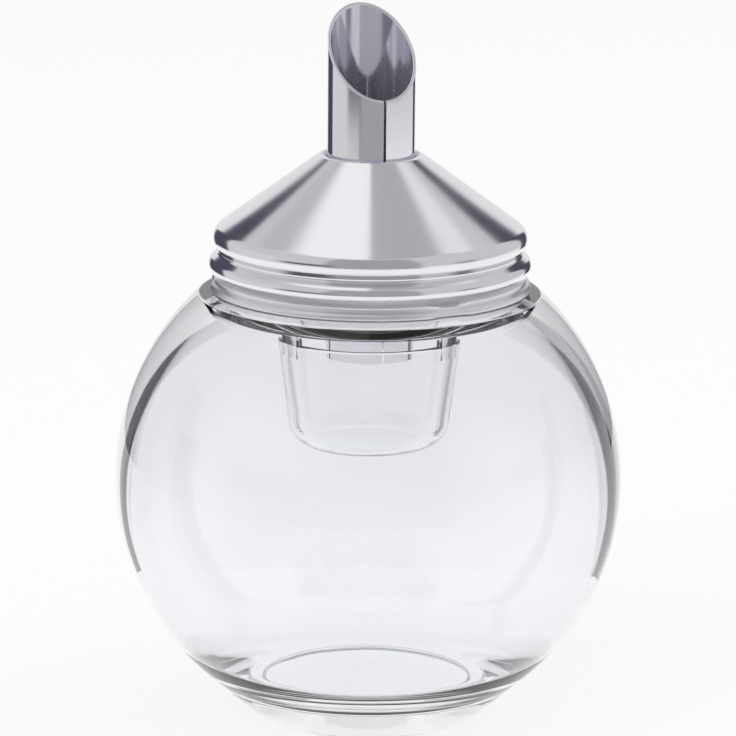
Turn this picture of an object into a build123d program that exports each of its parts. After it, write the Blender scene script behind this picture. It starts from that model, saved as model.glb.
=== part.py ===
from build123d import *
from math import acos, asin, atan, atan2, cos, degrees, hypot, pi, radians, sin, sqrt
import os

# Sugar dispenser: a glass globe jar, a twist-on steel lid with a pouring tube, and a dosing cup
# that hangs in the jar's mouth. Millimetres, +Z up, origin at the centre of the foot.

# Globe of the jar
globe_r = 45.0              # widest radius
globe_half_height = 45.45   # from the widest circle to where the closed globe would end
foot_cut = 3.45             # what the foot plane cuts off the globe
wall = 2.8                  # at the widest circle
roof_wall = 5.85            # from the top of the hollow to where the closed globe would end
heel_wall = 0.65            # from the bottom of the hollow, if the floor didn't cut it
floor_thickness = 8.0
floor_round = 16.0
foot_r = 21.1
foot_round = 1.5
push_up_r = 18.5            # recess under the foot, which leaves a ring to stand on
push_up_depth = 1.2
push_up_round = 0.5

# Neck of the jar and its ridges
neck_r = 24.4
neck_wall = 3.2
neck_height = 8.7           # from the shoulder ledge to the lip
lip_round = 1.3
shoulder_margin = 1.75      # ledge left bare outside the lid's rim
shoulder_round = 0.7
throat_round = 2.5          # inside, from the globe into the neck
ridge_height = 1.4
ridge_thickness = 1.5
ridge_before = 14.0         # degrees of ridge before the closed lug's middle
ridge_after = 50.0          # degrees of ridge after it
ridge_root = 0.8            # how deep a ridge is rooted in the neck

# Twist closure
lug_count = 3
lug_angle = 60.0            # degrees from +X to the first lug
lug_width = 14.0            # degrees
lug_thickness = 1.5
lug_reach_gap = 0.5         # from a lug's tip to the neck
lug_ridge_gap = 0.6         # from a lug's top to the ridge over its middle
lead = 14.4                 # rise in one full turn
ridge_lid_gap = 0.35        # from a ridge to the narrowest ring of the lid
rim_gap = 0.35              # from the lid's rim to the shoulder ledge

# Lid, drawn from sheet
sheet = 0.5
cone_rise = 14.75           # from the edge ring's widest circle to the top of the hole's rim
hole_roll = 1.0
collar_length = 4.0         # turned-down collar that grips the tube
edge_stand = 0.9            # how far each ring stands out from the upper groove
bead_stand = 1.65
waist_stand = 0.65          # lower groove, just above the curled rim
rim_stand = 1.7
edge_share = 0.2513         # radius of each ring's round as a share of the skirt's height
bead_share = 0.1571
groove_share = 0.0576
curl_share = 0.0995
curl_turn = 290.0           # degrees that the rim is rolled round
bead_height_share = 0.465   # height of the bead between the rim's curl and the edge ring
waist_rise_share = 0.1573   # from the middle of the curl to the lower groove

# Pouring tube, rolled from sheet with an open seam
tube_r = 7.65
tube_wall = 0.5
spout_height = 17.8         # from the lid's hole to the middle of the slanted cut
spout_tilt = 45.4           # degrees between the cut and the horizontal
seam_angle = 288.0          # degrees from +X, where the cut is lowest too
seam_width = 0.5
tube_dip = 3.3              # how far the inner end reaches into the cup

# Gasket between the dosing plate and the lid
gasket_thickness = 1.4
gasket_edge_gap = 0.13      # from the gasket's top to the inside of the edge ring's round
gasket_inset = 0.3          # from the jar's mouth to the gasket's bore

# Dosing plate, which closes the mouth round the tube
plate_thickness = 1.2
plate_edge_gap = 0.55       # from the plate to the narrowest ring of the lid
spigot_gap = 0.35           # from the plate's spigot to the mouth
spigot_wall = 1.2
spigot_depth = 2.2
tube_clearance = 0.08
sleeve_wall = 1.3
sleeve_up = 3.0
sleeve_down = 4.0

# Dosing cup and the legs that hang it from the plate
cup_mouth_gap = 5.3         # from the cup to the jar's mouth, for the sugar to get past
cup_taper = 2.3
cup_wall = 1.2
cup_depth = 19.0
cup_drop = 16.2             # from the lip to the cup's rim
cup_round = 5.0
cup_rim_round = 0.35
leg_count = 3
leg_angle = 90.0            # degrees from +X to the first leg
leg_width = 18.0            # degrees
leg_root = 2.3              # how far a leg runs down the cup's wall
tongue_width = 12.0         # degrees
slot_play = 0.15
hook_reach = 0.4
hook_thickness = 0.9
hook_gap = 0.05

# Heights and radii that follow
globe_z = globe_half_height - foot_cut
hollow_r = globe_r - wall
hollow_half_height = globe_half_height - (roof_wall + heel_wall) / 2
hollow_z = globe_z - (roof_wall - heel_wall) / 2
mouth_r = neck_r - neck_wall
ridge_r = neck_r + ridge_height
groove_r = ridge_r + ridge_lid_gap + sheet
edge_r = groove_r + edge_stand
bead_r = groove_r + bead_stand
waist_r = groove_r + waist_stand
rim_r = groove_r + rim_stand
shoulder_r = rim_r + shoulder_margin
shoulder_z = globe_z + globe_half_height * sqrt(1 - (shoulder_r / globe_r) ** 2)
lip_z = shoulder_z + neck_height
plate_top = lip_z + plate_thickness
edge_z = plate_top
hole_z = edge_z + cone_rise
rim_z = shoulder_z + rim_gap
skirt_height = edge_z - rim_z
edge_round = edge_share * skirt_height
bead_round = bead_share * skirt_height
groove_round = groove_share * skirt_height
curl_round = curl_share * skirt_height
waist_rise = waist_rise_share * skirt_height
curl_z = rim_z + curl_round
bead_z = curl_z + bead_height_share * (edge_z - curl_z)
groove_z = (edge_z + bead_z) / 2
gasket_room = sqrt((edge_round - sheet) ** 2 - gasket_thickness ** 2)
gasket_r = edge_r - edge_round + gasket_room - gasket_edge_gap
cup_r = mouth_r - cup_mouth_gap
cup_bottom_r = cup_r - cup_taper
cup_rim_z = lip_z - cup_drop
cup_floor_z = cup_rim_z - cup_depth
tube_end_z = cup_rim_z - tube_dip
cut_z = hole_z + spout_height


def ring(inner, outer, low, high):
    """A plain ring about the axis."""
    return Pos(0, 0, low) * extrude(Circle(outer) - Circle(inner), high - low)


def sector(inner, outer, low, high, middle, width):
    """A piece of a ring, width degrees wide, centred on the middle angle."""
    face = make_face(
        [
            Line((inner, 0), (outer, 0)),
            Line((outer, 0), (outer, high - low)),
            Line((outer, high - low), (inner, high - low)),
            Line((inner, high - low), (inner, 0)),
        ]
    )
    turned = revolve(Plane.XZ * face, Axis.Z, width)
    return Pos(0, 0, low) * Rot(0, 0, middle - width / 2) * turned


def rounded_by_circle(solid, circles, radius):
    """Rounds the solid's circular edges that have the given (radius, height) pairs."""
    chosen = []
    for edge in solid.edges().filter_by(GeomType.CIRCLE):
        for circle_r, circle_z in circles:
            if abs(edge.radius - circle_r) < 0.01 and abs(edge.center().Z - circle_z) < 0.01:
                chosen.append(edge)
    return fillet(chosen, radius)


def globe_tangent():
    """Where the straight line from the foot's edge touches the globe, as (radius, height)."""
    squash = globe_r / globe_half_height
    drop = globe_z * squash
    reach = hypot(foot_r, drop)
    angle = atan2(-drop, foot_r) + acos(globe_r / reach)
    return globe_r * cos(angle), globe_z + globe_r * sin(angle) / squash


def globe_arc(middle, radius, half_height, low, high):
    """A globe's outline between two heights, in the plane of radius and height."""
    start = degrees(asin((low - middle) / half_height))
    sweep = degrees(asin((high - middle) / half_height)) - start
    return EllipticalCenterArc((0, middle), radius, half_height, start, arc_size=sweep)


def jar_body():
    """The glass without its ridges: turned outline outside, the hollow taken out of it."""
    _, touch_z = globe_tangent()
    outside = globe_arc(globe_z, globe_r, globe_half_height, touch_z, shoulder_z)
    outline = make_face(
        [
            Line((0, 0), (foot_r, 0)),
            Line((foot_r, 0), outside @ 0),
            outside,
            Line(outside @ 1, (neck_r, shoulder_z)),
            Line((neck_r, shoulder_z), (neck_r, lip_z)),
            Line((neck_r, lip_z), (0, lip_z)),
            Line((0, lip_z), (0, 0)),
        ]
    )
    body = revolve(Plane.XZ * outline, Axis.Z)
    body = rounded_by_circle(body, [(foot_r, 0)], foot_round)
    body = rounded_by_circle(body, [(shoulder_r, shoulder_z)], shoulder_round)
    return body


def jar_hollow():
    """The room inside the jar: flat floor, globe, throat and mouth."""
    throat_z = hollow_z + hollow_half_height * sqrt(1 - (mouth_r / hollow_r) ** 2)
    inside = globe_arc(hollow_z, hollow_r, hollow_half_height, floor_thickness, throat_z)
    floor_r = (inside @ 0).X
    outline = make_face(
        [
            Line((0, floor_thickness), inside @ 0),
            inside,
            Line(inside @ 1, (mouth_r, lip_z + lip_round)),
            Line((mouth_r, lip_z + lip_round), (0, lip_z + lip_round)),
            Line((0, lip_z + lip_round), (0, floor_thickness)),
        ]
    )
    hollow = revolve(Plane.XZ * outline, Axis.Z)
    hollow = rounded_by_circle(hollow, [(floor_r, floor_thickness)], floor_round)
    return rounded_by_circle(hollow, [(mouth_r, throat_z)], throat_round)


def neck_ridge(middle):
    """One inclined ridge of the neck, over the lug that closes at the middle angle."""
    rise_middle = (ridge_after - ridge_before) / 2
    width = ridge_after + ridge_before
    low = rim_z + lug_thickness + lug_ridge_gap + lead * rise_middle / 360
    slope = degrees(atan(lead / (2 * pi * (neck_r + ridge_r) / 2)))
    slab_size = 4 * ridge_r
    slab = Rot(slope, 0, 0) * Box(slab_size, slab_size, ridge_thickness)
    slab = Pos(0, 0, low + ridge_thickness / 2) * slab
    band = sector(neck_r - ridge_root, ridge_r, shoulder_z, lip_z - lip_round, 0, width)
    return Rot(0, 0, middle + rise_middle) * (band & slab)


def glass_jar():
    """The jar: globe, foot with its push-up, neck and ridges in one glass."""
    jar = jar_body() - jar_hollow()
    jar = rounded_by_circle(jar, [(neck_r, lip_z), (mouth_r, lip_z)], lip_round)
    push_up = Pos(0, 0, push_up_depth / 2) * Cylinder(push_up_r, push_up_depth)
    push_up = rounded_by_circle(push_up, [(push_up_r, push_up_depth)], push_up_round)
    jar -= push_up
    for number in range(lug_count):
        jar += neck_ridge(lug_angle + number * 360 / lug_count)
    return jar


def link(circle, following):
    """The straight that leaves one circle and meets the next, each (x, y, radius, turn).

    The turn is 1 where the outline runs anticlockwise round the circle and -1 where clockwise.
    """
    x1, y1, r1, turn1 = circle
    x2, y2, r2, turn2 = following
    shift = turn2 * r2 - turn1 * r1
    heading = atan2(y2 - y1, x2 - x1) - asin(shift / hypot(x2 - x1, y2 - y1))
    side = (-sin(heading), cos(heading))
    start = (x1 - turn1 * r1 * side[0], y1 - turn1 * r1 * side[1])
    end = (x2 - turn2 * r2 * side[0], y2 - turn2 * r2 * side[1])
    return start, end


def bend(circle, start, end):
    """The arc round a circle from start to end, in the circle's own sense of turn."""
    x, y, radius, turn = circle
    first = atan2(start[1] - y, start[0] - x)
    swept = (turn * (atan2(end[1] - y, end[0] - x) - first)) % (2 * pi)
    middle = first + turn * swept / 2
    return ThreePointArc(start, (x + radius * cos(middle), y + radius * sin(middle)), end)


def lid_line(inset):
    """The lid's outline, inset from its outer face: collar, cone, rings and curled rim."""
    circles = [
        (tube_r + hole_roll, hole_z - hole_roll, hole_roll - inset, -1),
        (edge_r - edge_round, edge_z, edge_round - inset, -1),
        (groove_r + groove_round, groove_z, groove_round + inset, 1),
        (bead_r - bead_round, bead_z, bead_round - inset, -1),
        (waist_r + groove_round, curl_z + waist_rise, groove_round + inset, 1),
        (rim_r - curl_round, curl_z, curl_round - inset, -1),
    ]
    foot = (tube_r + inset, hole_z - hole_roll - collar_length)
    touch = (tube_r + inset, hole_z - hole_roll)
    edges = [Line(foot, touch)]
    for circle, following in zip(circles, circles[1:]):
        leave, meet = link(circle, following)
        edges.append(bend(circle, touch, leave))
        edges.append(Line(leave, meet))
        touch = meet
    x, y, radius, _ = circles[-1]
    last = radians(90 - curl_turn)
    tail = (x + radius * cos(last), y + radius * sin(last))
    edges.append(bend(circles[-1], touch, tail))
    return edges, foot, tail


def lid_shell():
    """The lid: one drawn sheet, with three lugs pressed in at its rim."""
    outer, outer_foot, outer_tail = lid_line(0)
    inner, inner_foot, inner_tail = lid_line(sheet)
    section = make_face(outer + inner + [Line(outer_foot, inner_foot), Line(outer_tail, inner_tail)])
    shell = revolve(Plane.XZ * section, Axis.Z)
    lug_r = neck_r + lug_reach_gap
    for number in range(lug_count):
        middle = lug_angle + number * 360 / lug_count
        shell += sector(lug_r, rim_r - curl_round, rim_z, rim_z + lug_thickness, middle, lug_width)
    return shell


def pouring_tube():
    """The tube: an open-seamed pipe, square at its inner end and slanted at its spout."""
    top = cut_z + tube_r
    tube = ring(tube_r - tube_wall, tube_r, tube_end_z, top)
    slit = Pos(tube_r, 0, (tube_end_z + top) / 2) * Box(4 * tube_wall, seam_width, top - tube_end_z)
    tube -= Rot(0, 0, seam_angle) * slit
    cut_size = 8 * tube_r
    above = Rot(0, spout_tilt, 0) * Pos(0, 0, cut_size / 2) * Box(cut_size, cut_size, cut_size)
    return tube - Pos(0, 0, cut_z) * Rot(0, 0, seam_angle) * above


def lid_gasket():
    """The flat sealing ring that the lid presses on the dosing plate."""
    return ring(mouth_r + gasket_inset, gasket_r, plate_top, plate_top + gasket_thickness)


def tongue_section():
    """The inner and outer radius of the tongues that tie the cup to the plate."""
    return cup_r - cup_wall, cup_r - slot_play


def dosing_plate():
    """The plate on the lip, with a spigot in the mouth and a sleeve round the tube."""
    bore = tube_r + tube_clearance
    plate = ring(bore, groove_r - sheet - plate_edge_gap, lip_z, plate_top)
    spigot_r = mouth_r - spigot_gap
    plate += ring(spigot_r - spigot_wall, spigot_r, lip_z - spigot_depth, lip_z)
    plate += ring(bore, bore + sleeve_wall, lip_z - sleeve_down, plate_top + sleeve_up)
    inner, outer = tongue_section()
    play = degrees(slot_play / cup_r)
    for number in range(leg_count):
        middle = leg_angle + number * 360 / leg_count
        low, high = lip_z - plate_thickness, plate_top + plate_thickness
        plate -= sector(inner - slot_play, outer + slot_play, low, high, middle, tongue_width + 2 * play)
    return plate


def dosing_cup():
    """The cup, and its three legs, whose hooked tongues snap through the plate."""
    outer = FilletPolyline(
        (0, cup_floor_z),
        (cup_bottom_r, cup_floor_z),
        (cup_r, cup_rim_z),
        radius=cup_round,
    )
    inner = FilletPolyline(
        (0, cup_floor_z + cup_wall),
        (cup_bottom_r - cup_wall, cup_floor_z + cup_wall),
        (cup_r - cup_wall, cup_rim_z),
        radius=cup_round - cup_wall,
    )
    section = make_face([outer, inner, Line(outer @ 0, inner @ 0), Line(outer @ 1, inner @ 1)])
    cup = revolve(Plane.XZ * section, Axis.Z)
    cup = rounded_by_circle(cup, [(cup_r, cup_rim_z), (cup_r - cup_wall, cup_rim_z)], cup_rim_round)
    inside, outside = tongue_section()
    hook_z = plate_top + hook_gap
    for number in range(leg_count):
        middle = leg_angle + number * 360 / leg_count
        cup += sector(cup_r - cup_wall, cup_r, cup_rim_z - leg_root, lip_z, middle, leg_width)
        cup += sector(inside, outside, lip_z, hook_z + hook_thickness, middle, tongue_width)
        hook_r = outside + slot_play + hook_reach
        cup += sector(inside, hook_r, hook_z, hook_z + hook_thickness, middle, tongue_width)
    return cup


pieces = {
    "glass_jar": glass_jar(),
    "lid_shell": lid_shell(),
    "pouring_tube": pouring_tube(),
    "lid_gasket": lid_gasket(),
    "dosing_plate": dosing_plate(),
    "dosing_cup": dosing_cup(),
}

os.makedirs("parts", exist_ok=True)
for name, shape in pieces.items():
    export_step(shape, f"parts/{name}.step")
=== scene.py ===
import math

import bpy
from mathutils import Matrix, Vector


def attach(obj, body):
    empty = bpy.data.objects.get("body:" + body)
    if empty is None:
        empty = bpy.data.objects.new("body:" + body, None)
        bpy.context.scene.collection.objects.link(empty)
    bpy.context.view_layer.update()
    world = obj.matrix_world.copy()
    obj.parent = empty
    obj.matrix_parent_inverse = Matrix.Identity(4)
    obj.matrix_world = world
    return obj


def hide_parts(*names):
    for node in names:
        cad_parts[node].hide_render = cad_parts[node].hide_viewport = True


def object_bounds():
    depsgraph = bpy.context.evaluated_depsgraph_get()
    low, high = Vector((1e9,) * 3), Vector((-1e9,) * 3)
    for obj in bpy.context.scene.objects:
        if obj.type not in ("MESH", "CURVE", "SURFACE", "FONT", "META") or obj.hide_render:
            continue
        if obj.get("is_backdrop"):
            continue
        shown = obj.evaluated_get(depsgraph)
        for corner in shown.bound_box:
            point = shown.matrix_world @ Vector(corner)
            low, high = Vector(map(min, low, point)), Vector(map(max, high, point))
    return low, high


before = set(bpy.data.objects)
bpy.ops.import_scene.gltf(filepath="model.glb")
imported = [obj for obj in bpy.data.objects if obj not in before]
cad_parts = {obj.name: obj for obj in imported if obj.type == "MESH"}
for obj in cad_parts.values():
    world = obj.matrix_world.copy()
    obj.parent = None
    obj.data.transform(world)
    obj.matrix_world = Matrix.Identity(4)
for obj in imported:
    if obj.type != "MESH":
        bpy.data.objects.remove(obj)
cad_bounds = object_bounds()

# The picture. It is taken from in front and a little above with a long lens, so the jar
# shows its mouth and foot as flat ellipses and the tube leans very slightly to the right.
camera_distance = 0.620
camera_rise = math.radians(13.9)
camera_roll = math.radians(0.5)
looked_at = Vector((0, 0, 0.060))

lens = bpy.data.cameras.new("picture_lens")
lens.lens = 171.1
lens.sensor_width = 36.0
lens.shift_x = -0.0015
lens.shift_y = 0.014
lens.clip_start = 0.05
lens.clip_end = 20
picture = bpy.data.objects.new("picture_camera", lens)
bpy.context.scene.collection.objects.link(picture)
backwards = Vector((0, -math.cos(camera_rise), math.sin(camera_rise)))
turned = backwards.to_track_quat("Z", "Y").to_matrix().to_4x4()
turned = turned @ Matrix.Rotation(camera_roll, 4, "Z")
picture.matrix_world = Matrix.Translation(looked_at + backwards * camera_distance) @ turned
bpy.context.scene.camera = picture
bpy.context.scene.view_settings.view_transform = "Standard"


# The table. A plain white sheet under the jar that runs out of sight, so nothing but
# white shows behind the glass, with the jar's own soft shadow kept on it.
def worked_out(nodes, links, kind, *values):
    """One arithmetic step between sockets or numbers."""
    step = nodes.new("ShaderNodeMath")
    step.operation = kind
    for socket, value in zip(step.inputs, values):
        if isinstance(value, (int, float)):
            socket.default_value = value
        else:
            links.new(value, socket)
    return step.outputs[0]


def blank_finish(name):
    """A new material with nothing in it yet, and its nodes and links."""
    finish = bpy.data.materials.new(name)
    finish.use_nodes = True
    finish.node_tree.nodes.clear()
    return finish, finish.node_tree.nodes, finish.node_tree.links


def mixed(nodes, links, share, first, second):
    """Two shaders mixed, with this share of the second."""
    mix = nodes.new("ShaderNodeMixShader")
    links.new(share, mix.inputs[0])
    links.new(first.outputs[0], mix.inputs[1])
    links.new(second.outputs[0], mix.inputs[2])
    return mix


def show_surface(nodes, links, shader):
    """Makes this shader the one that the material shows."""
    out = nodes.new("ShaderNodeOutputMaterial")
    links.new(shader.outputs[0], out.inputs["Surface"])


def seen_white(nodes, links):
    """1 for what the eye, a reflection or a look through glass meets, else 0."""
    ray = nodes.new("ShaderNodeLightPath").outputs
    either = worked_out(nodes, links, "MAXIMUM", ray["Is Camera Ray"], ray["Is Glossy Ray"])
    return worked_out(nodes, links, "MAXIMUM", either, ray["Is Transmission Ray"])


table_white = (0.93, 0.93, 0.935, 1)
table_glow = 0.80               # share of the white that the shadow doesn't reach
table_half = 4.0
table_z = -0.0001               # just under the foot
table_mesh = bpy.data.meshes.new("table")
table_mesh.from_pydata(
    [(-table_half, -table_half, table_z), (table_half, -table_half, table_z),
     (table_half, table_half, table_z), (-table_half, table_half, table_z)],
    [],
    [(0, 1, 2, 3)],
)
table = bpy.data.objects.new("table", table_mesh)
bpy.context.scene.collection.objects.link(table)
table_finish, nodes, links = blank_finish("white table")
matt = nodes.new("ShaderNodeBsdfDiffuse")
matt.inputs["Color"].default_value = table_white
glow = nodes.new("ShaderNodeEmission")
glow.inputs["Color"].default_value = (1, 1, 1, 1)
glow.inputs["Strength"].default_value = 1.0
share = worked_out(nodes, links, "MULTIPLY", seen_white(nodes, links), table_glow)
show_surface(nodes, links, mixed(nodes, links, share, matt, glow))
table_mesh.materials.append(table_finish)
table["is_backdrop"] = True

room_light = 0.62               # what the room gives the object; what is seen of it is white
world = bpy.data.worlds.new("white studio")
bpy.context.scene.world = world
world.use_nodes = True
nodes, links = world.node_tree.nodes, world.node_tree.links
nodes.clear()
room = nodes.new("ShaderNodeBackground")
room.inputs["Color"].default_value = (1, 1, 1, 1)
room.inputs["Strength"].default_value = room_light
seen = nodes.new("ShaderNodeBackground")
seen.inputs["Color"].default_value = (1, 1, 1, 1)
seen.inputs["Strength"].default_value = 1.0
out = nodes.new("ShaderNodeOutputWorld")
pick = mixed(nodes, links, seen_white(nodes, links), room, seen)
links.new(pick.outputs[0], out.inputs["Surface"])


# The lamps. Two large soft boxes light the table and the dull pieces; what shines in the
# steel and the glass comes from the light tent below, so the lamps themselves stay out of it.
def soft_box(name, place, size, power):
    """A square lamp aimed at the middle of the jar."""
    data = bpy.data.lights.new(name, "AREA")
    data.shape = "SQUARE"
    data.size = size
    data.energy = power
    lamp = bpy.data.objects.new(name, data)
    bpy.context.scene.collection.objects.link(lamp)
    aim = (Vector(place) - looked_at).to_track_quat("Z", "Y").to_matrix().to_4x4()
    lamp.matrix_world = Matrix.Translation(place) @ aim
    lamp.visible_glossy = False
    lamp.visible_transmission = False
    lamp.visible_camera = False


soft_box("left_soft_box", (-0.9, -0.7, 1.2), 0.9, 9.0)
soft_box("right_soft_box", (1.0, 0.2, 1.3), 0.9, 6.0)


# The light tent. White sheets round the jar with dark gaps between them, as in a product
# photographer's tent; the steel and the glass mirror it, and it throws no shadow.
tent_radius = 0.35
tent_middle = 0.095


def stretched(nodes, links, value, reads, gives, kind="LINEAR"):
    """A value carried from the range that it reads in to the range that it gives."""
    node = nodes.new("ShaderNodeMapRange")
    node.interpolation_type = kind
    for name, number in zip(("From Min", "From Max", "To Min", "To Max"), reads + gives):
        node.inputs[name].default_value = number
    links.new(value, node.inputs["Value"])
    return node.outputs["Result"]


def tent_band(nodes, links, value, low, high, soft):
    """1 between low and high and 0 outside, with soft edges."""
    rise = stretched(nodes, links, value, (low - soft, low + soft), (0, 1), "SMOOTHSTEP")
    fall = stretched(nodes, links, value, (high - soft, high + soft), (1, 0), "SMOOTHSTEP")
    return worked_out(nodes, links, "MULTIPLY", rise, fall)


def tent_blend(nodes, links, value, target, mask):
    """The target where the mask is 1 and the value where it is 0."""
    change = worked_out(nodes, links, "SUBTRACT", target, value)
    change = worked_out(nodes, links, "MULTIPLY", change, mask)
    return worked_out(nodes, links, "ADD", change, value)


def tent_directions(nodes, links):
    """Turn from the front to the right, swing to either side and lift above level, in degrees,
    and height in metres."""
    place = nodes.new("ShaderNodeTexCoord")
    axes = nodes.new("ShaderNodeSeparateXYZ")
    links.new(place.outputs["Object"], axes.inputs[0])
    side_on, ahead, height = axes.outputs
    towards_lens = worked_out(nodes, links, "MULTIPLY", ahead, -1.0)
    turn = worked_out(nodes, links, "ARCTAN2", side_on, towards_lens)
    turn = worked_out(nodes, links, "MULTIPLY", turn, 180 / math.pi)
    swing = worked_out(nodes, links, "ABSOLUTE", turn, 0.0)
    up = worked_out(nodes, links, "SUBTRACT", height, tent_middle)
    up = worked_out(nodes, links, "DIVIDE", up, tent_radius)
    lift = worked_out(nodes, links, "ARCSINE", up, 0.0)
    lift = worked_out(nodes, links, "MULTIPLY", lift, 180 / math.pi)
    return turn, swing, lift, height


def tent_cloth(name, dark, bright_value):
    """Glowing cloth, dark at 0 and white at 1, as bright_value works out from the place."""
    cloth, nodes, links = blank_finish(name)
    shade = nodes.new("ShaderNodeMix")
    shade.data_type = "RGBA"
    links.new(bright_value(nodes, links), shade.inputs["Factor"])
    shade.inputs["A"].default_value = dark
    shade.inputs["B"].default_value = (1, 1, 1, 1)
    glow = nodes.new("ShaderNodeEmission")
    links.new(shade.outputs["Result"], glow.inputs["Color"])
    show_surface(nodes, links, glow)
    return cloth


def mirrored_light(nodes, links):
    """How bright the sheets are that the steel mirrors, from 0 to 1."""
    turn, swing, lift, _ = tent_directions(nodes, links)

    def panel(value, target, turns, lifts, turn_soft, lift_soft):
        """A sheet or a gap between two turns and two lifts."""
        across = tent_band(nodes, links, turn, turns[0], turns[1], turn_soft)
        upright = tent_band(nodes, links, lift, lifts[0], lifts[1], lift_soft)
        mask = worked_out(nodes, links, "MULTIPLY", across, upright)
        return tent_blend(nodes, links, value, target, mask)

    bright = 0.60                                                       # between the sheets
    bright = panel(bright, 0.68, (-130, -58), (-60, 20), 20, 8)         # left sheet
    bright = panel(bright, 0.90, (38, 200), (-32, -8), 3, 3)            # low right sheet
    bright = panel(bright, 0.34, (-32, 36), (-90, 58), 3, 6)            # room behind the lens
    behind = tent_band(nodes, links, swing, 150, 200, 4)
    below_roof = tent_band(nodes, links, lift, -100, 50, 5)
    behind = worked_out(nodes, links, "MULTIPLY", behind, below_roof)
    bright = tent_blend(nodes, links, bright, 0.80, behind)
    bright = panel(bright, 0.50, (-135, -116), (42, 60), 6, 4)          # overhead, left end
    bright = panel(bright, 0.98, (-200, 0), (60, 100), 5, 6)            # overhead, left
    bright = panel(bright, 0.42, (0, 200), (63, 100), 5, 3)             # overhead, right
    bright = panel(bright, 0.86, (112, 132), (48, 61), 6, 3)            # overhead, right end
    bright = panel(bright, 0.02, (-64, -28), (-7, 4), 8, 2)             # lamp stands in front
    bright = panel(bright, 0.05, (62, 80), (-5, 2), 6, 2)               # and on the right
    # The dark gaps behind, which close towards the top and start nearer the front on the left
    above = worked_out(nodes, links, "MAXIMUM", lift, 0.0)
    for side, start, start_rise in ((-1, 122.0, 0.5), (1, 138.5, 0.0)):
        near = worked_out(nodes, links, "MULTIPLY", above, start_rise)
        near = worked_out(nodes, links, "ADD", near, start)
        far = worked_out(nodes, links, "MULTIPLY", above, -0.35)
        far = worked_out(nodes, links, "ADD", far, 157.5)
        here = worked_out(nodes, links, "MULTIPLY", turn, side)
        past_near = worked_out(nodes, links, "SUBTRACT", here, near)
        before_far = worked_out(nodes, links, "SUBTRACT", far, here)
        inside = worked_out(nodes, links, "MINIMUM", past_near, before_far)
        gap = tent_band(nodes, links, inside, 0, 400, 1.0)
        bright = tent_blend(nodes, links, bright, 0.0, gap)
    return bright


def stage_sheet(name, points, faces, cloth, mirrored, through_glass):
    """A sheet of the tent, which only reflections, or only looks through glass, can meet."""
    mesh = bpy.data.meshes.new(name)
    mesh.from_pydata(points, [], faces)
    mesh.materials.append(cloth)
    piece = bpy.data.objects.new(name, mesh)
    bpy.context.scene.collection.objects.link(piece)
    piece.visible_camera = False
    piece.visible_diffuse = False
    piece.visible_shadow = False
    piece.visible_volume_scatter = False
    piece.visible_glossy = mirrored
    piece.visible_transmission = through_glass
    piece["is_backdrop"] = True


def loop_faces(rings, sides):
    """Four-cornered faces between closed loops of points, one loop after the other."""
    found = []
    for ring in range(rings):
        for side in range(sides):
            a = ring * sides + side
            b = ring * sides + (side + 1) % sides
            found.append((a, a + sides, b + sides, b))
    return found


def round_point(radius, angle, height):
    """The point at an angle round the Z axis."""
    return (radius * math.cos(angle), radius * math.sin(angle), height)


tent_rings, tent_sides = 40, 96
tent_turns = [2 * math.pi * side / tent_sides for side in range(tent_sides)]
tent_points = []
for ring in range(tent_rings + 1):
    angle = math.pi * ring / tent_rings
    reach = tent_radius * math.sin(angle)
    height = tent_middle + tent_radius * math.cos(angle)
    tent_points += [round_point(reach, turn, height) for turn in tent_turns]
stage_sheet(
    "light_tent", tent_points, loop_faces(tent_rings, tent_sides),
    tent_cloth("tent sheets", (0.075, 0.068, 0.100, 1), mirrored_light),
    mirrored=True, through_glass=False,
)

# The screen. Nearer the jar stands a round screen that is met only by a look through the
# glass: pale behind, with a dark gap at each side, which draws the edges of clear glass.
screen_radius = 0.10
screen_top = 0.20


def noise(nodes, links, place, scale, detail):
    """A noise pattern over a place."""
    node = nodes.new("ShaderNodeTexNoise")
    node.inputs["Scale"].default_value = scale
    node.inputs["Detail"].default_value = detail
    links.new(place, node.inputs["Vector"])
    return node


def screen_light(nodes, links):
    """How bright the screen is that shows through the glass."""
    turn, swing, _, height = tent_directions(nodes, links)
    # Behind, it is white at the table and greyer from the globe's middle up, with soft clouds
    fade = stretched(nodes, links, height, (0.0, 0.055), (0.97, 0.80), "SMOOTHSTEP")
    cloud = noise(nodes, links, nodes.new("ShaderNodeTexCoord").outputs["Object"], 22.0, 1.0)
    uneven = worked_out(nodes, links, "SUBTRACT", cloud.outputs["Fac"], 0.5)
    uneven = worked_out(nodes, links, "MULTIPLY", uneven, 0.24)
    bright = worked_out(nodes, links, "ADD", fade, uneven)
    in_front = tent_band(nodes, links, swing, -1, 112, 5)
    raised = tent_band(nodes, links, height, 0.026, 1.0, 0.026)
    in_front = worked_out(nodes, links, "MULTIPLY", in_front, raised)
    bright = tent_blend(nodes, links, bright, 0.76, in_front)
    half_dark = tent_band(nodes, links, turn, 128, 138, 2)
    bright = tent_blend(nodes, links, bright, 0.38, half_dark)
    left_gap = tent_band(nodes, links, turn, -129, -119, 1.0)
    bright = tent_blend(nodes, links, bright, 0.0, left_gap)
    right_gap = tent_band(nodes, links, turn, 116, 129, 1.0)
    return tent_blend(nodes, links, bright, 0.0, right_gap)


screen_points = [
    round_point(screen_radius, turn, height) for height in (0.0, screen_top) for turn in tent_turns
]
stage_sheet(
    "round_screen", screen_points, loop_faces(1, tent_sides),
    tent_cloth("screen sheet", (0.055, 0.050, 0.070, 1), screen_light),
    mirrored=False, through_glass=True,
)


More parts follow.
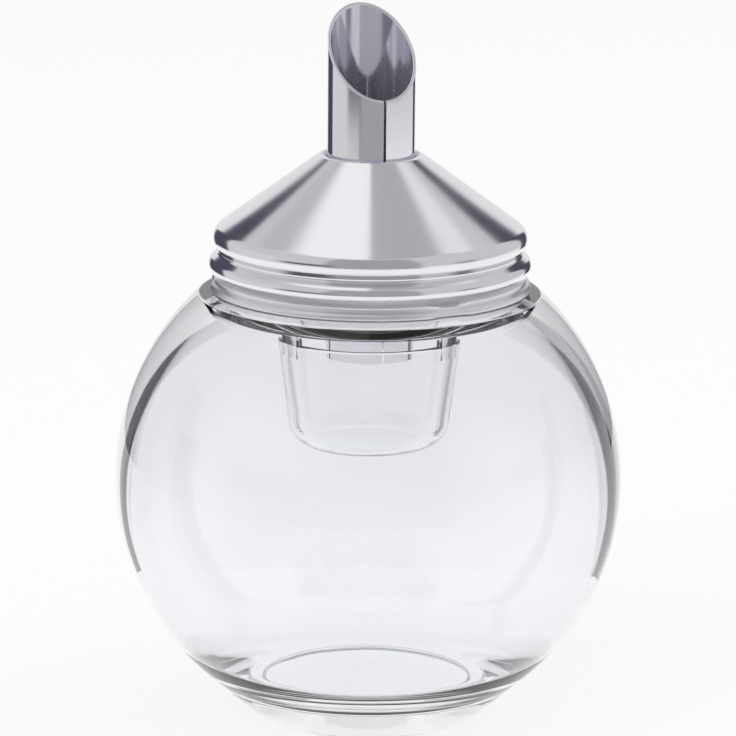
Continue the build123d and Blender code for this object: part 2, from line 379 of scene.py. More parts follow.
# The jar. One thick clear glass, blown and pressed: a globe with a flat foot, a recess under
# it and a plain neck with three slanting ridges that the lid's lugs slide under.
globe_r = 45.0
globe_stretch = 1.010           # the globe is a little taller than wide
globe_z = 42.0
globe_step = 0.9                # degrees between the points of the globe's outside
hollow_r = 42.2                 # the hollow is a ball set low, so the neck's root stays thick
hollow_z = 39.4
hollow_step = 1.1
foot_r = 21.1
foot_round = 1.5
recess_r = 18.5
recess_depth = 1.2
recess_round = 0.5
recess_edge = 0.3
floor_z = 8.0
floor_round = 16.0
neck_r = 24.4
neck_round = 0.5
mouth_r = 21.2
lip_z = 84.486
lip_round = 1.3
shoulder_r = 30.1
shoulder_z = 75.786
shoulder_round = 0.7
throat_z = lip_z - 3
throat_round = 1.2
ceiling_r = 26.9                # the hollow's ceiling slopes from the throat to here
ceiling_z = 71.9
ceiling_rise = 2.0
ceiling_round = 1.0
ceiling_reach = 0.4             # from the ceiling's end to the first point of the ball
ridge_count = 3                 # ridges on the neck, and lugs on the lid
ridge_reach = 1.4
ridge_tall = 1.5
ridge_angle = 32.0              # from the middle of a ridge to its ends, in degrees
ridge_foot_z = 78.236
lead = 14.4                     # rise of a ridge in one full turn
lug_angle = 60.0                # from +X to the first lug
ridge_after_lug = 18.0
ridge_middle_z = ridge_foot_z + ridge_tall / 2 + lead * ridge_after_lug / 360
turning_steps = 240


def arc_points(middle, radius, first, last, step=4.0, stretch=1.0):
    """Points round an arc, first and last in degrees, in the plane of radius and height."""
    count = max(2, math.ceil(abs(last - first) / step))
    found = []
    for number in range(count + 1):
        angle = math.radians(first + (last - first) * number / count)
        found.append((middle[0] + radius * math.cos(angle),
                      middle[1] + radius * math.sin(angle) * stretch))
    return found


def rounded(corners, step=6.0):
    """Straight lines through corners of (radius, height, rounding), with the corners round."""
    found = [(corners[0][0], corners[0][1])]
    for before, here, after in zip(corners, corners[1:], corners[2:]):
        if here[2] == 0:
            found.append((here[0], here[1]))
            continue
        middle = Vector(here[:2])
        back = (Vector(before[:2]) - middle).normalized()
        on = (Vector(after[:2]) - middle).normalized()
        half = back.angle(on) / 2
        run = here[2] / math.tan(half)
        centre = middle + (back + on).normalized() * (here[2] / math.sin(half))
        start = math.degrees(math.atan2(*(middle + back * run - centre).yx))
        end = math.degrees(math.atan2(*(middle + on * run - centre).yx))
        sweep = (end - start + 180) % 360 - 180
        found += arc_points(centre, here[2], start, start + sweep, step)
    found.append((corners[-1][0], corners[-1][1]))
    return found


def evened(points, longest=2.0, edge=0.05):
    """Splits the long runs of a section, with a point close to both ends, so they shade flat."""
    found = [points[0]]
    for a, b in zip(points, points[1:]):
        a, b = Vector(a), Vector(b)
        length = (b - a).length
        if length > longest:
            count = math.ceil((length - 2 * edge) / longest)
            for number in range(count + 1):
                along = edge + (length - 2 * edge) * number / count
                found.append(tuple(a + (b - a) * (along / length)))
        elif length > 4 * edge:
            found.append(tuple(a + (b - a) * (edge / length)))
            found.append(tuple(a + (b - a) * (1 - edge / length)))
        if length > 1e-6:
            found.append(tuple(b))
    return found


def finished_form(nodes, links, form, finish):
    """Ends a tree: copies made real, the material set, and the form given out."""
    real = nodes.new("GeometryNodeRealizeInstances")
    links.new(form, real.inputs[0])
    coat = nodes.new("GeometryNodeSetMaterial")
    links.new(real.outputs[0], coat.inputs["Geometry"])
    links.new(finish, coat.inputs["Material"])
    out = nodes.new("NodeGroupOutput")
    links.new(coat.outputs[0], out.inputs[0])


def turning_tree():
    """Geometry nodes that turn a section round the Z axis, and push bands of it in or out."""
    tree = bpy.data.node_groups.new("Turned form", "GeometryNodeTree")
    face = tree.interface
    face.new_socket("Section", in_out="INPUT", socket_type="NodeSocketGeometry")
    for name, kind, value in (
        ("Steps round", "NodeSocketInt", 192),
        ("Finish", "NodeSocketMaterial", None),
        ("Bands", "NodeSocketInt", 3),
        ("Band angle", "NodeSocketFloat", 0.0),
        ("Band half width", "NodeSocketFloat", 0.0),
        ("Band end softness", "NodeSocketFloat", 0.05),
        ("Band height", "NodeSocketFloat", 0.0),
        ("Band half height", "NodeSocketFloat", 0.001),
        ("Band side softness", "NodeSocketFloat", 0.0003),
        ("Band lead", "NodeSocketFloat", 0.0),
        ("Band push", "NodeSocketFloat", 0.0),
        ("Band from radius", "NodeSocketFloat", 0.0),
    ):
        socket = face.new_socket(name, in_out="INPUT", socket_type=kind)
        if value is not None:
            socket.default_value = value
    face.new_socket("Form", in_out="OUTPUT", socket_type="NodeSocketGeometry")
    nodes, links = tree.nodes, tree.links
    given = nodes.new("NodeGroupInput").outputs

    def step(kind, *values):
        return worked_out(nodes, links, kind, *values)

    def fading(value, half, softness):
        """1 well inside half, 0 beyond it, smooth over the softness."""
        node = nodes.new("ShaderNodeMapRange")
        node.interpolation_type = "SMOOTHSTEP"
        links.new(value, node.inputs["Value"])
        links.new(half, node.inputs["From Max"])
        links.new(step("SUBTRACT", half, softness), node.inputs["From Min"])
        node.inputs["To Min"].default_value = 1
        node.inputs["To Max"].default_value = 0
        return node.outputs["Result"]

    size = nodes.new("GeometryNodeAttributeDomainSize")
    links.new(given["Section"], size.inputs[0])
    count = size.outputs["Point Count"]
    grid = nodes.new("GeometryNodeMeshGrid")
    links.new(step("ADD", given["Steps round"], 1), grid.inputs["Vertices X"])
    links.new(count, grid.inputs["Vertices Y"])
    index = nodes.new("GeometryNodeInputIndex").outputs[0]
    along = step("MODULO", index, count)
    round_it = step("FLOOR", step("DIVIDE", step("ADD", index, 0.5), count))
    angle = step("DIVIDE", step("MULTIPLY", round_it, 2 * math.pi), given["Steps round"])
    where = nodes.new("GeometryNodeInputPosition")
    sample = nodes.new("GeometryNodeSampleIndex")
    sample.data_type = "FLOAT_VECTOR"
    sample.domain = "POINT"
    links.new(given["Section"], sample.inputs["Geometry"])
    links.new(where.outputs[0], sample.inputs["Value"])
    links.new(along, sample.inputs["Index"])
    split = nodes.new("ShaderNodeSeparateXYZ")
    links.new(sample.outputs[0], split.inputs[0])
    radius, height = split.outputs[0], split.outputs[2]
    # The bands stand evenly round the axis and rise with the lead
    period = step("DIVIDE", 2 * math.pi, given["Bands"])
    offset = step("SUBTRACT", angle, given["Band angle"])
    nearest = step("MULTIPLY", step("ROUND", step("DIVIDE", offset, period)), period)
    offset = step("SUBTRACT", offset, nearest)
    rise = step("MULTIPLY", step("DIVIDE", offset, 2 * math.pi), given["Band lead"])
    away_z = step("ABSOLUTE", step("SUBTRACT", height, step("ADD", given["Band height"], rise)))
    wide = fading(step("ABSOLUTE", offset), given["Band half width"], given["Band end softness"])
    tall = fading(away_z, given["Band half height"], given["Band side softness"])
    outer = step("GREATER_THAN", radius, given["Band from radius"])
    amount = step("MULTIPLY", step("MULTIPLY", wide, tall), outer)
    radius = step("ADD", radius, step("MULTIPLY", amount, given["Band push"]))
    join = nodes.new("ShaderNodeCombineXYZ")
    links.new(step("MULTIPLY", radius, step("COSINE", angle)), join.inputs[0])
    links.new(step("MULTIPLY", radius, step("SINE", angle)), join.inputs[1])
    links.new(height, join.inputs[2])
    put = nodes.new("GeometryNodeSetPosition")
    links.new(grid.outputs["Mesh"], put.inputs["Geometry"])
    links.new(join.outputs[0], put.inputs["Position"])
    weld = nodes.new("GeometryNodeMergeByDistance")
    weld.inputs["Distance"].default_value = 2e-6
    links.new(put.outputs[0], weld.inputs["Geometry"])
    smooth = nodes.new("GeometryNodeSetShadeSmooth")
    links.new(weld.outputs[0], smooth.inputs[0])
    finished_form(nodes, links, smooth.outputs[0], given["Finish"])
    return tree


def made_piece(name, start, tree, **given):
    """A plain mesh that a tree makes from a start; given sets the tree's named inputs."""
    maker = bpy.data.objects.new(name + "_maker", start)
    bpy.context.scene.collection.objects.link(maker)
    making = maker.modifiers.new("Making", "NODES")
    making.node_group = tree
    key = {item.name: item.identifier for item in tree.interface.items_tree}
    for words, value in given.items():
        making[key[words.replace("_", " ").capitalize()]] = value
    ready = maker.evaluated_get(bpy.context.evaluated_depsgraph_get())
    made = bpy.data.meshes.new_from_object(ready)
    made.name = name
    made.materials.clear()
    made.materials.append(given["finish"])
    piece = bpy.data.objects.new(name, made)
    bpy.context.scene.collection.objects.link(piece)
    bpy.data.objects.remove(maker)
    return piece


turned_form = turning_tree()


def turned_piece(name, section, finish, steps=turning_steps, **bands):
    """A piece turned from a section in millimetres."""
    mesh = bpy.data.meshes.new(name + "_section")
    mesh.from_pydata(
        [(r / 1000, 0, z / 1000) for r, z in section],
        [(n, n + 1) for n in range(len(section) - 1)],
        [],
    )
    return made_piece(name, mesh, turned_form, steps_round=steps, finish=finish, **bands)


def raised_by(nodes, links, body, pattern, depth):
    """Gives a surface the relief of a noise pattern, its depth in metres."""
    relief = nodes.new("ShaderNodeBump")
    relief.inputs["Strength"].default_value = 1.0
    relief.inputs["Distance"].default_value = depth
    links.new(pattern.outputs["Fac"], relief.inputs["Height"])
    links.new(relief.outputs[0], body.inputs["Normal"])


def clear_finish(name, bend, tint, haze, wave_size, wave_depth, shade):
    """Clear glass or plastic with a slightly uneven skin; shade is how dark its shadow is."""
    finish, nodes, links = blank_finish(name)
    body = nodes.new("ShaderNodeBsdfPrincipled")
    body.inputs["Transmission Weight"].default_value = 1.0
    body.inputs["IOR"].default_value = bend
    body.inputs["Base Color"].default_value = tint
    place = nodes.new("ShaderNodeTexCoord").outputs["Object"]
    wave = noise(nodes, links, place, 1 / wave_size, 2.0)
    wave.inputs["Roughness"].default_value = 0.4
    wave.inputs["Distortion"].default_value = 0.6
    raised_by(nodes, links, body, wave, wave_depth)
    cloud = noise(nodes, links, place, 90.0, 3.0)
    hazy = stretched(nodes, links, cloud.outputs["Fac"], (0.45, 0.75), (haze * 0.4, haze))
    links.new(hazy, body.inputs["Roughness"])
    let_by = nodes.new("ShaderNodeBsdfTransparent")
    let_by.inputs["Color"].default_value = shade
    shadow_ray = nodes.new("ShaderNodeLightPath").outputs["Is Shadow Ray"]
    show_surface(nodes, links, mixed(nodes, links, shadow_ray, body, let_by))
    return finish


jar_glass = clear_finish(
    "jar glass", bend=1.51, tint=(0.967, 0.974, 0.990, 1), haze=0.012,
    wave_size=0.030, wave_depth=0.00012, shade=(0.90, 0.90, 0.91, 1),
)


def jar_section():
    """The glass cut in half: under the foot, up the outside, over the lip and down inside."""
    drop = globe_z / globe_stretch
    reach = math.hypot(foot_r, drop)
    touch = math.degrees(math.atan2(-drop, foot_r) + math.acos(globe_r / reach))
    touch_at = arc_points((0, globe_z), globe_r, touch, touch + 1, 1.0, globe_stretch)[0]
    top = math.degrees(math.acos(shoulder_r / globe_r))
    base = rounded([
        (0, recess_depth, 0), (recess_r, recess_depth, recess_round), (recess_r, 0, recess_edge),
        (foot_r, 0, foot_round), (touch_at[0], touch_at[1], 0),
    ])
    # The globe's arc stops a little short at both ends, where the straight runs take over
    globe = arc_points((0, globe_z), globe_r, touch + 1.2, top - 1.6, globe_step, globe_stretch)
    neck = rounded([
        globe[-1] + (0,), (shoulder_r, shoulder_z, shoulder_round),
        (neck_r, shoulder_z, neck_round), (neck_r, lip_z, lip_round),
        (mouth_r, lip_z, lip_round), (mouth_r, throat_z, 0),
    ])
    # Inside, a gently sloping ceiling runs from the throat to the hollow ball
    throat_turn = math.degrees(math.acos((ceiling_r + ceiling_reach) / hollow_r))
    throat = rounded([
        (mouth_r, throat_z, 0), (mouth_r, ceiling_z + ceiling_rise, throat_round),
        (ceiling_r, ceiling_z, ceiling_round),
        arc_points((0, hollow_z), hollow_r, throat_turn, throat_turn - 1)[0] + (0,),
    ])[1:]
    floor_level = floor_z - hollow_z + floor_round
    floor_side = math.sqrt((hollow_r - floor_round) ** 2 - floor_level ** 2)
    floor_turn = math.degrees(math.atan2(floor_level, floor_side))
    hollow = arc_points((0, hollow_z), hollow_r, throat_turn, floor_turn, hollow_step)
    floor = arc_points((floor_side, hollow_z + floor_level), floor_round, floor_turn, -90, 2.0)
    inside = evened(throat) + hollow[1:-1] + floor + evened([floor[-1], (0, floor_z)])[1:]
    return evened(base[:-1] + [touch_at]) + globe + evened(neck[1:], longest=0.35) + inside


jar = turned_piece(
    "jar", jar_section(), jar_glass,
    bands=ridge_count,
    band_angle=math.radians(lug_angle + ridge_after_lug),
    band_half_width=math.radians(ridge_angle),
    band_end_softness=math.radians(4.0),
    band_height=ridge_middle_z / 1000,
    band_half_height=ridge_tall / 2000,
    band_side_softness=0.00045,
    band_lead=lead / 1000,
    band_push=ridge_reach / 1000,
    band_from_radius=(neck_r - 0.5) / 1000,
)
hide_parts("glass_jar")
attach(jar, "jar")


# The lid. One round of bright steel sheet, drawn to a cone, rolled into rings at the side and
# curled under at the rim; a round hole at the top is turned down to a collar for the tube.
sheet_thick = 0.5
groove_r = 26.65
edge_r = 27.55
bead_r = 28.3
waist_r = 27.3
rim_r = 28.35
hole_z = 100.436
hole_roll = 1.0
collar_long = 4.0
tube_r = 7.65
edge_z = 85.686
rim_z = 76.136
edge_round = 2.4
bead_round = 1.5
groove_round = 0.55
curl_round = 0.95
curl_turn = 290.0               # degrees that the rim is curled
waist_rise = 1.502
bead_share = 0.465              # the bead's height, as a share of the skirt's
dull_below = (0.0804, 0.0798)   # the sheet under the bead turns duller between these, in metres
dent_z = rim_z + 0.2
dent_deep = 0.7                 # how far the rim is pressed in over a lug
dent_degrees = 9.0


def drawn_line(inset):
    """The lid's outline from the collar's end to the curl, inset from its outer face."""
    curl_z = rim_z + curl_round
    bead_z = curl_z + bead_share * (edge_z - curl_z)
    circles = [
        (tube_r + hole_roll, hole_z - hole_roll, hole_roll - inset, -1),
        (edge_r - edge_round, edge_z, edge_round - inset, -1),
        (groove_r + groove_round, (edge_z + bead_z) / 2, groove_round + inset, 1),
        (bead_r - bead_round, bead_z, bead_round - inset, -1),
        (waist_r + groove_round, curl_z + waist_rise, groove_round + inset, 1),
        (rim_r - curl_round, curl_z, curl_round - inset, -1),
    ]
    found = [(tube_r + inset, hole_z - hole_roll - collar_long)]
    touch = (tube_r + inset, hole_z - hole_roll)
    for number, (x, y, radius, way) in enumerate(circles):
        if number < len(circles) - 1:
            x2, y2, radius2, way2 = circles[number + 1]
            shift = way2 * radius2 - way * radius
            course = math.atan2(y2 - y, x2 - x) - math.asin(shift / math.hypot(x2 - x, y2 - y))
            side = (-math.sin(course), math.cos(course))
            leave = (x - way * radius * side[0], y - way * radius * side[1])
            meet = (x2 - way2 * radius2 * side[0], y2 - way2 * radius2 * side[1])
        else:
            last = math.radians(90 - curl_turn)
            leave = (x + radius * math.cos(last), y + radius * math.sin(last))
        first = math.degrees(math.atan2(touch[1] - y, touch[0] - x))
        sweep = math.degrees(math.atan2(leave[1] - y, leave[0] - x)) - first
        sweep = way * ((way * sweep) % 360)
        found += arc_points((x, y), radius, first, first + sweep, 6.0)
        touch = meet
    return found


def vector_step(nodes, links, kind, first, second=None):
    """One step between vectors; the second is a socket, three numbers or nothing."""
    step = nodes.new("ShaderNodeVectorMath")
    step.operation = kind
    links.new(first, step.inputs[0])
    if isinstance(second, tuple):
        step.inputs[1].default_value = second
    elif second is not None:
        links.new(second, step.inputs[1])
    return step.outputs["Value" if kind in ("DOT_PRODUCT", "LENGTH") else "Vector"]


def spun_steel(name, tint, gloss, grain_depth, drawn,
               inner_painted_shade, inner_gloss, inner_metal, waist_dull):
    """Bright steel with fine turned or drawn lines; drawn lines run along Z, others round it. Faces that look
    towards the axis are painted darker: painted shade.
    """
    finish, nodes, links = blank_finish(name)
    body = nodes.new("ShaderNodeBsdfPrincipled")
    place = nodes.new("ShaderNodeTexCoord").outputs
    # Only the outside is polished, so faces that look towards the axis are duller; their darker colour is
    # painted shade
    level = vector_step(nodes, links, "MULTIPLY", place["Object"], (1, 1, 0))
    outward = vector_step(nodes, links, "NORMALIZE", level)
    facing = vector_step(nodes, links, "DOT_PRODUCT", outward, place["Normal"])
    inner = stretched(nodes, links, facing, (-0.02, -0.25), (0, 1))
    tone_with_painted_shade = nodes.new("ShaderNodeMix")
    tone_with_painted_shade.data_type = "RGBA"
    links.new(inner, tone_with_painted_shade.inputs["Factor"])
    tone_with_painted_shade.inputs["A"].default_value = tint
    tone_with_painted_shade.inputs["B"].default_value = inner_painted_shade
    links.new(tone_with_painted_shade.outputs["Result"], body.inputs["Base Color"])
    links.new(stretched(nodes, links, inner, (0, 1), (1, inner_metal)), body.inputs["Metallic"])
    # The grain is noise over radius, height and angle, stretched along the tool's path
    axes = nodes.new("ShaderNodeSeparateXYZ")
    links.new(place["Object"], axes.inputs[0])
    x, y, z = axes.outputs
    lines = nodes.new("ShaderNodeCombineXYZ")
    links.new(vector_step(nodes, links, "LENGTH", level), lines.inputs[0])
    links.new(z, lines.inputs[1])
    links.new(worked_out(nodes, links, "ARCTAN2", y, x), lines.inputs[2])
    fineness = (400, 40, 260) if drawn else (9000, 9000, 8)
    fine_lines = vector_step(nodes, links, "MULTIPLY", lines.outputs[0], fineness)
    raised_by(nodes, links, body, noise(nodes, links, fine_lines, 1.0, 2.0), grain_depth)
    # The gloss is slightly uneven, as on steel that has been wiped
    smear = noise(nodes, links, place["Object"], 60.0, 4.0).outputs["Fac"]
    rough = stretched(nodes, links, smear, (0.35, 0.7), (gloss * 0.8, gloss * 1.25))
    rough = worked_out(nodes, links, "MULTIPLY_ADD", inner, inner_gloss, rough)
    low = stretched(nodes, links, z, dull_below, (0, waist_dull))
    links.new(worked_out(nodes, links, "ADD", rough, low), body.inputs["Roughness"])
    show_surface(nodes, links, body)
    return finish


# The lid's inside is painted a darker lavender grey: painted shade
lid_steel = spun_steel(
    "lid steel", (0.86, 0.85, 0.88, 1), 0.13, 0.0000010, drawn=False,
    inner_painted_shade=(0.60, 0.58, 0.68, 1), inner_gloss=0.18, inner_metal=0.6, waist_dull=0.22,
)
outer_line = drawn_line(0)
inner_line = drawn_line(sheet_thick)
lid_section = evened(outer_line[:1] + inner_line + outer_line[::-1])
lid = turned_piece(
    "lid", lid_section, lid_steel,
    bands=ridge_count,
    band_angle=math.radians(lug_angle),
    band_half_width=math.radians(dent_degrees),
    band_end_softness=math.radians(6.0),
    band_height=dent_z / 1000,
    band_half_height=0.0024,
    band_side_softness=0.0012,
    band_push=-dent_deep / 1000,
    band_from_radius=0.020,
)
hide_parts("lid_shell")
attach(lid, "lid")


# The lugs. Three places of the curled rim are pressed in flat, and these slide under the
# jar's ridges as the lid turns.
lug_r = 24.9
lug_root_r = rim_r - 1.3
lug_tall = 1.5
lug_degrees = 14.0
lug_edge_round = 0.45
lug_root_round = 0.2
lug_seam_z = rim_z + 0.35
lug_end_power = 6               # how square the rounded ends are
lug_end_least = 0.15            # size of the flat end, as a share of the lug's
lug_steps = 16


def lug_tree():
    """Geometry nodes that set copies of one lug evenly round the rim."""
    tree = bpy.data.node_groups.new("Lugs round the rim", "GeometryNodeTree")
    face = tree.interface
    face.new_socket("Lug", in_out="INPUT", socket_type="NodeSocketGeometry")
    face.new_socket("Number", in_out="INPUT", socket_type="NodeSocketInt")
    face.new_socket("First angle", in_out="INPUT", socket_type="NodeSocketFloat")
    face.new_socket("Finish", in_out="INPUT", socket_type="NodeSocketMaterial")
    face.new_socket("Lugs", in_out="OUTPUT", socket_type="NodeSocketGeometry")
    nodes, links = tree.nodes, tree.links
    given = nodes.new("NodeGroupInput").outputs
    dots = nodes.new("GeometryNodePoints")
    links.new(given["Number"], dots.inputs["Count"])
    index = nodes.new("GeometryNodeInputIndex").outputs[0]
    part = worked_out(nodes, links, "DIVIDE", index, given["Number"])
    angle = worked_out(nodes, links, "MULTIPLY_ADD", part, 2 * math.pi, given["First angle"])
    spin = nodes.new("ShaderNodeCombineXYZ")
    links.new(angle, spin.inputs[2])
    copy = nodes.new("GeometryNodeInstanceOnPoints")
    links.new(dots.outputs[0], copy.inputs["Points"])
    links.new(given["Lug"], copy.inputs["Instance"])
    turned_by = nodes.new("FunctionNodeEulerToRotation")
    links.new(spin.outputs[0], turned_by.inputs[0])
    links.new(turned_by.outputs[0], copy.inputs["Rotation"])
    finished_form(nodes, links, copy.outputs[0], given["Finish"])
    return tree


def in_metres(point):
    """A point in millimetres, in metres."""
    return tuple(value / 1000 for value in point)


def lug_mesh():
    """One lug at +X: a short curved bar with rounded ends, open nowhere."""
    section = rounded([
        (lug_root_r, lug_seam_z, 0), (lug_root_r, rim_z, lug_root_round),
        (lug_r, rim_z, lug_edge_round), (lug_r, rim_z + lug_tall, lug_edge_round),
        (lug_root_r, rim_z + lug_tall, lug_root_round), (lug_root_r, lug_seam_z, 0),
    ], 15.0)[:-1]
    size = len(section)
    middle = Vector((sum(r for r, _ in section) / size, sum(z for _, z in section) / size))
    points = []
    for number in range(lug_steps + 1):
        along = 2 * number / lug_steps - 1
        shrink = 0.0
        if abs(along) < 1:
            shrink = (1 - abs(along) ** lug_end_power) ** (1 / lug_end_power)
        shrink = max(shrink, lug_end_least)
        angle = math.radians(lug_degrees / 2) * along
        for r, z in section:
            spot = middle + (Vector((r, z)) - middle) * shrink
            points.append(in_metres(round_point(spot.x, angle, spot.y)))
    faces = [(a, d, c, b) for a, b, c, d in loop_faces(lug_steps, size)]
    faces.append(tuple(range(size))[::-1])
    faces.append(tuple(lug_steps * size + corner for corner in range(size)))
    mesh = bpy.data.meshes.new("lug")
    mesh.from_pydata(points, [], faces)
    mesh.update()
    mesh.shade_smooth()
    return mesh


lugs = made_piece(
    "lid_lugs", lug_mesh(), lug_tree(),
    number=ridge_count, first_angle=math.radians(lug_angle), finish=lid_steel,
)
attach(lugs, "lid")


# The pouring tube. A strip of bright steel rolled round with its seam left open, square at the
# inner end and sliced at a slant for the spout, with the cut edges ground smooth.
tube_wall = 0.5
tube_end_z = 64.986
cut_z = 118.236
cut_tilt = math.radians(45.4)
seam_turn = math.radians(288.0)
seam_gap = 0.5
seam_edge_turn = 0.004          # to the points that keep the seam's edges crisp, in radians
edge_break = 0.10
tube_steps = 180
wall_points = (tube_end_z + 15, tube_end_z + 30)
# The tube's inside is painted a little darker and bluer: painted shade
tube_steel = spun_steel(
    "tube steel", (0.85, 0.84, 0.875, 1), 0.07, 0.0000006, drawn=True,
    inner_painted_shade=(0.78, 0.77, 0.84, 1), inner_gloss=0.04, inner_metal=0.88, waist_dull=0.0,
)


def tube_loop(turn):
    """The wall's outline at one angle round the tube: up the outside and down the inside."""
    def cut(radius):
        return cut_z - radius * math.tan(cut_tilt) * math.cos(turn - seam_turn)
    outer, inner = tube_r, tube_r - tube_wall
    b = edge_break
    low, high = wall_points
    spots = [
        (outer - b, tube_end_z), (outer, tube_end_z + b), (outer, tube_end_z + 2 * b),
        (outer, low), (outer, high), (outer, cut(outer) - 2.5 * b),
        (outer, cut(outer) - b), (outer - b, cut(outer - b)), (outer - 2 * b, cut(outer - 2 * b)),
        (inner + 2 * b, cut(inner + 2 * b)), (inner + b, cut(inner + b)), (inner, cut(inner) - b),
        (inner, cut(inner) - 2.5 * b), (inner, high), (inner, low),
        (inner, tube_end_z + 2 * b), (inner, tube_end_z + b), (inner + b, tube_end_z),
    ]
    return [in_metres(round_point(r, turn, z)) for r, z in spots]


half_seam = seam_gap / 2 / tube_r
wrap = 2 * math.pi - 2 * half_seam
turns = [seam_turn + half_seam + wrap * n / tube_steps for n in range(tube_steps + 1)]
turns.insert(1, turns[0] + seam_edge_turn)
turns.insert(-1, turns[-1] - seam_edge_turn)
points = [point for turn in turns for point in tube_loop(turn)]
size = len(tube_loop(0))
faces = loop_faces(len(turns) - 1, size)
faces.append(tuple(range(size)))
faces.append(tuple((len(turns) - 1) * size + corner for corner in range(size))[::-1])
tube_mesh = bpy.data.meshes.new("pouring_spout")
tube_mesh.from_pydata(points, [], faces)
tube_mesh.shade_smooth()
tube_mesh.materials.append(tube_steel)
tube = bpy.data.objects.new("pouring_spout", tube_mesh)
bpy.context.scene.collection.objects.link(tube)
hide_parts("pouring_tube")
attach(tube, "lid")


# The gasket. A flat white silicone ring inside the lid, cut from sheet, which the lid presses
# on the plate below it.
gasket_inner = 21.5
gasket_outer = 26.30
gasket_z = 85.686
gasket_tall = 1.4
gasket_round = 0.15
gasket_seam_z = gasket_z + 0.5
silicone, nodes, links = blank_finish("white silicone")
body = nodes.new("ShaderNodeBsdfPrincipled")
body.inputs["Base Color"].default_value = (0.86, 0.86, 0.84, 1)
body.inputs["Subsurface Weight"].default_value = 0.35
body.inputs["Subsurface Radius"].default_value = (0.002, 0.0016, 0.0012)
body.inputs["Subsurface Scale"].default_value = 1.0
body.inputs["Sheen Weight"].default_value = 0.15
dust = noise(nodes, links, nodes.new("ShaderNodeTexCoord").outputs["Object"], 1600.0, 3.0)
raised_by(nodes, links, body, dust, 0.00002)
dullness = stretched(nodes, links, dust.outputs["Fac"], (0, 1), (0.42, 0.62))
links.new(dullness, body.inputs["Roughness"])
show_surface(nodes, links, body)
gasket_section = evened(rounded([
    (gasket_inner, gasket_seam_z, 0), (gasket_inner, gasket_z, gasket_round),
    (gasket_outer, gasket_z, gasket_round), (gasket_outer, gasket_z + gasket_tall, gasket_round),
    (gasket_inner, gasket_z + gasket_tall, gasket_round), (gasket_inner, gasket_seam_z, 0),
], 20.0))
gasket = turned_piece("gasket", gasket_section, silicone, steps=128)
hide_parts("lid_gasket")
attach(gasket, "lid")


# The dosing plate. Clear moulded plastic that rests on the jar's lip, with a short spigot in
# the mouth, a sleeve that the tube slides in, and three slots for the cup's tongues.
insert_plastic = clear_finish(
    "clear insert plastic", bend=1.49, tint=(0.985, 0.987, 0.99, 1), haze=0.05,
    wave_size=0.010, wave_depth=0.00004, shade=(0.85, 0.85, 0.86, 1),
)
plate_thick = 1.2
plate_r = 25.60
spigot_out = 20.85
spigot_wall = 1.2
spigot_deep = 2.2
bore_r = 7.73
sleeve_r = 9.03
sleeve_top = lip_z + plate_thick + 3.0
sleeve_foot = lip_z - 4.0
plate_section = evened(rounded([
    (bore_r, lip_z, 0), (bore_r, sleeve_foot, 0.2), (sleeve_r, sleeve_foot, 0.2),
    (sleeve_r, lip_z, 0.3), (spigot_out - spigot_wall, lip_z, 0.3),
    (spigot_out - spigot_wall, lip_z - spigot_deep, 0.25), (spigot_out, lip_z - spigot_deep, 0.25),
    (spigot_out, lip_z, 0.15), (plate_r, lip_z, 0.25), (plate_r, lip_z + plate_thick, 0.25),
    (sleeve_r, lip_z + plate_thick, 0.3), (sleeve_r, sleeve_top, 0.25), (bore_r, sleeve_top, 0.25),
    (bore_r, lip_z, 0),
], 15.0), longest=3.0)
plate = turned_piece("plate", plate_section, insert_plastic, steps=128)
tongue_angles = (90.0, 210.0, 330.0)
slot_radii = (14.55, 15.90)
slot_degrees = 13.0
slot_past = 0.5                 # how far the slot's block stands past the plate's faces
crease = math.radians(35)       # edges sharper than this stay crisp


def curved_block(name, radii, heights, middle, width, steps=8):
    """A closed block bent round the Z axis, its sizes in millimetres and degrees."""
    corners = ((radii[0], heights[0]), (radii[1], heights[0]),
               (radii[1], heights[1]), (radii[0], heights[1]))
    points = []
    for number in range(steps + 1):
        angle = math.radians(middle + width * (number / steps - 0.5))
        points += [in_metres(round_point(r, angle, z)) for r, z in corners]
    faces = loop_faces(steps, 4)
    faces.append((0, 1, 2, 3))
    faces.append(tuple(steps * 4 + corner for corner in (3, 2, 1, 0)))
    mesh = bpy.data.meshes.new(name)
    mesh.from_pydata(points, [], faces)
    block = bpy.data.objects.new(name, mesh)
    bpy.context.scene.collection.objects.link(block)
    return block


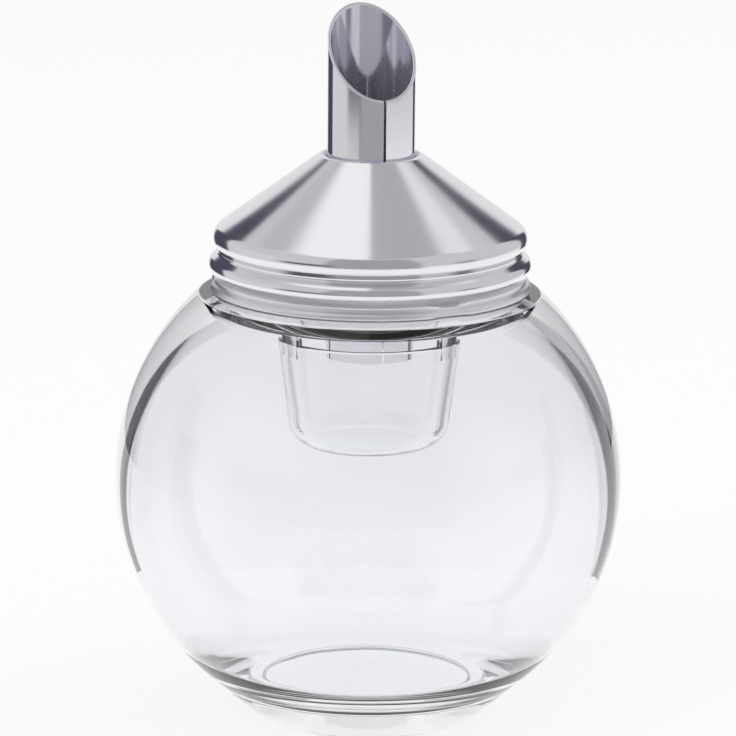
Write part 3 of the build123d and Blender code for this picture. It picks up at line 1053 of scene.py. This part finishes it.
def joined_or_cut(piece, blocks, kind):
    """Joins blocks to a piece (UNION) or cuts them out of it (DIFFERENCE), as one plain mesh."""
    for block in blocks:
        block.data.materials.append(piece.data.materials[0])
        change = piece.modifiers.new(block.name, "BOOLEAN")
        change.operation = kind
        change.solver = "EXACT"
        change.object = block
    ready = piece.evaluated_get(bpy.context.evaluated_depsgraph_get())
    made = bpy.data.meshes.new_from_object(ready)
    made.name = piece.name
    piece.modifiers.clear()
    piece.data = made
    for block in blocks:
        bpy.data.objects.remove(block)
    made.shade_smooth()
    made.set_sharp_from_angle(angle=crease)


slot_heights = (lip_z - slot_past, lip_z + plate_thick + slot_past)
joined_or_cut(plate, [
    curved_block("slot", slot_radii, slot_heights, angle, slot_degrees) for angle in tongue_angles
], "DIFFERENCE")
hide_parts("dosing_plate")
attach(plate, "insert")


# The dosing cup. A thin clear moulded cup hung under the plate by three legs, whose hooked
# tongues snap through it; the tube's end dips into the cup and measures the dose.
cup_r = 15.9
cup_floor_r = 13.6
cup_wall = 1.2
cup_rim_z = 68.286
cup_floor_z = 49.286
cup_round = 5.0
cup_section = rounded([
    (0, cup_floor_z, 0), (cup_floor_r, cup_floor_z, cup_round), (cup_r, cup_rim_z, 0.35),
    (cup_r - cup_wall, cup_rim_z, 0.35),
    (cup_floor_r - cup_wall, cup_floor_z + cup_wall, cup_round - cup_wall),
    (0, cup_floor_z + cup_wall, 0),
], 6.0)
cup = turned_piece("cup", evened(cup_section), insert_plastic, steps=160)
leg_degrees = 18.0
leg_heights = (cup_rim_z - 2.3, lip_z - 0.02)       # from in the cup's wall to under the plate
tongue_degrees = 12.0
tongue_radii = (14.70, 15.75)
tongue_heights = (lip_z - 1.0, 86.636)
hook_degrees = 11.6
hook_radii = (tongue_radii[1] - 0.4, 16.30)
hook_heights = (tongue_heights[1] - 0.9, tongue_heights[1])
legs = []
for angle in tongue_angles:
    legs += [
        curved_block("leg", (cup_r - cup_wall, cup_r), leg_heights, angle, leg_degrees, 12),
        curved_block("tongue", tongue_radii, tongue_heights, angle, tongue_degrees),
        curved_block("hook", hook_radii, hook_heights, angle, hook_degrees),
    ]
joined_or_cut(cup, legs, "UNION")
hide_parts("dosing_cup")
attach(cup, "insert")

size = {"cad": [list(corner) for corner in cad_bounds], "visual": [list(corner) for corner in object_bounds()]}
